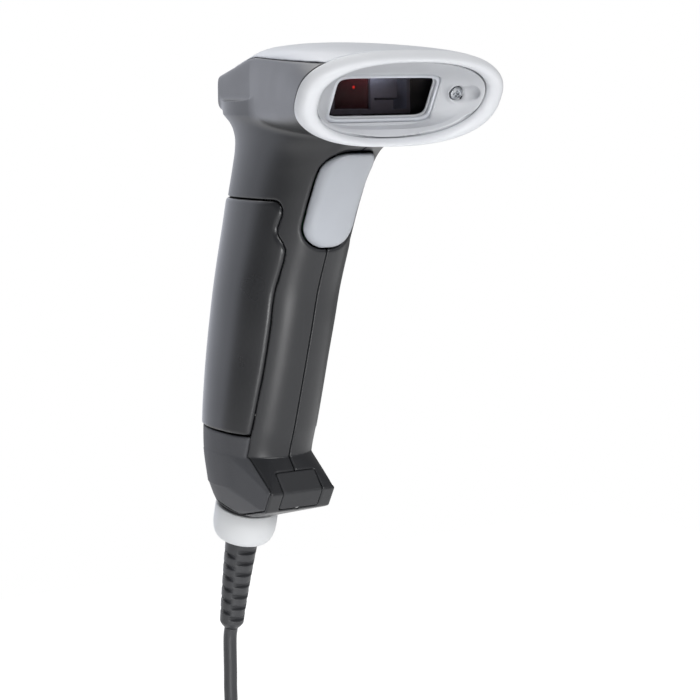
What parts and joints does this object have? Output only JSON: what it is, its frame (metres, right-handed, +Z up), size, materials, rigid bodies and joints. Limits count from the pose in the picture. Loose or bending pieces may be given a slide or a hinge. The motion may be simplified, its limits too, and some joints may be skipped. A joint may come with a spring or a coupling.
{
  "type": "handheld barcode scanner",
  "caption": "Pistol-grip laser barcode scanner with a wide pale nose, long finger trigger, dark shell, ribbed strain relief and a tied lead with a plug.",
  "frame": {"origin": "on the front of the grip at mid height, in the plane that parts the two housing halves, where a hand closes round the grip", "axes": "+Z up along the upright object, the scanner looks forward and down towards -Y, +X to the object's left when it is seen from the front"},
  "size_m": [0.0774, 0.1287, 0.4226],
  "materials": {
    "bumper_rubber": "satin",
    "recess_grey": "fine texture",
    "pale_plastic": "satin",
    "red_window": "clear tinted",
    "steel": "zinc plated",
    "housing_grey": "satin, fine texture",
    "grip_grey": "soft touch",
    "textured_grey": "grained",
    "trigger_grey": "satin",
    "pad_rubber": "matte",
    "collar_rubber": "satin",
    "cord_vinyl": "satin",
    "black_plastic": "satin",
    "red_plastic": "gloss",
    "red_filter": "clear tinted",
    "zinc_casting": "cast, matte",
    "mirror_face": "first surface mirror",
    "laser_brass": "turned",
    "board_green": "solder mask",
    "white_nylon": "satin",
    "ribbon_white": "satin"
  },
  "bodies": {
    "scanner": {"bumper_ring": "bumper_rubber", "nose_recess": "recess_grey", "window_frame": "pale_plastic", "top_cover": "pale_plastic", "scan_window": "red_window", "nose_screw": "steel", "trigger_pin": "steel", "housing_screw_upper": "steel", "housing_screw_lower": "steel", "plug_shell": "steel", "housing_left": "housing_grey", "housing_right": "housing_grey", "rear_grip_cover": "grip_grey", "lower_rear_cover": "textured_grey", "foot_pad": "pad_rubber", "hank_tie": "pad_rubber", "cable_collar": "collar_rubber", "strain_relief": "cord_vinyl", "inner_lead": "cord_vinyl", "lead_hank": "cord_vinyl", "lead": "cord_vinyl", "micro_switch": "black_plastic", "photo_detector": "black_plastic", "buzzer": "black_plastic", "plug_grip": "black_plastic", "receive_filter": "red_filter", "engine_chassis": "zinc_casting", "mirror_drive": "zinc_casting", "laser_module": "laser_brass", "trigger_board": "board_green", "main_board": "board_green", "interface_board": "board_green", "lead_header": "white_nylon", "plug_tongue": "white_nylon", "ribbon_cable": "ribbon_white"},
    "trigger": {"trigger": "trigger_grey", "trigger_spring": "steel"},
    "switch_button": {"switch_plunger": "red_plastic"},
    "mirror": {"scan_mirror": "mirror_face", "mirror_magnet": "steel"}
  },
  "joints": [
    {"name": "trigger_press", "type": "hinge", "parent": "scanner", "child": "trigger", "pos_m": [0, -0.017, 0.0605], "axis": [1, 0, 0], "range_deg": [0, 5], "stiffness_Nm_per_rad": 0.5, "springref_deg": -4.58},
    {"name": "switch_press", "type": "slide", "parent": "scanner", "child": "switch_button", "axis": [0, 1, 0], "range_m": [0, 0.0012]},
    {"name": "mirror_swing", "type": "hinge", "parent": "scanner", "child": "mirror", "pos_m": [0.008, -0.025, 0.085], "axis": [0, 0, 1], "range_deg": [-12, 12], "stiffness_Nm_per_rad": 0.0001}
  ],
  "couplings": [
    {"joint": "switch_press", "follows": "trigger_press", "m_per_rad": 0.013}
  ]
}
